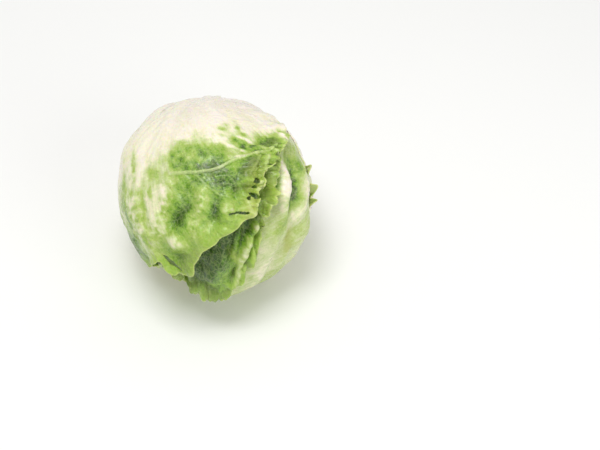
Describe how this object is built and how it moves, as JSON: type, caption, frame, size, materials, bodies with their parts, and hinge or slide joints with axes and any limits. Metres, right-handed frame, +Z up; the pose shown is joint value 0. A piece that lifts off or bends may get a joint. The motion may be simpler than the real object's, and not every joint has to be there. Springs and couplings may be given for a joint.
{
  "type": "iceberg lettuce",
  "caption": "Round head of crisp lettuce lying on its side: cut stem, dense heart and overlapping waved wrapper leaves.",
  "frame": {"origin": "middle of the flat spot that the head rests on", "axes": "+Z up from the resting surface, +Y level and away from the viewer, the cut stem pointing along it, a little up and to the left, +X to the viewer's right"},
  "size_m": [0.156, 0.1574, 0.1472],
  "materials": {
    "leaf_green": "moist waxy leaf, green at the margin and cream at the rib",
    "heart_pale_green": "moist pale leaf",
    "stem_white": "cut plant stem"
  },
  "bodies": {
    "root": {"wrapper_leaf_1": "leaf_green", "wrapper_leaf_2": "leaf_green", "wrapper_leaf_3": "leaf_green", "wrapper_leaf_4": "leaf_green", "wrapper_leaf_5": "leaf_green", "wrapper_leaf_6": "leaf_green", "wrapper_leaf_7": "leaf_green", "wrapper_leaf_8": "leaf_green", "heart": "heart_pale_green", "stem": "stem_white"}
  },
  "joints": []
}
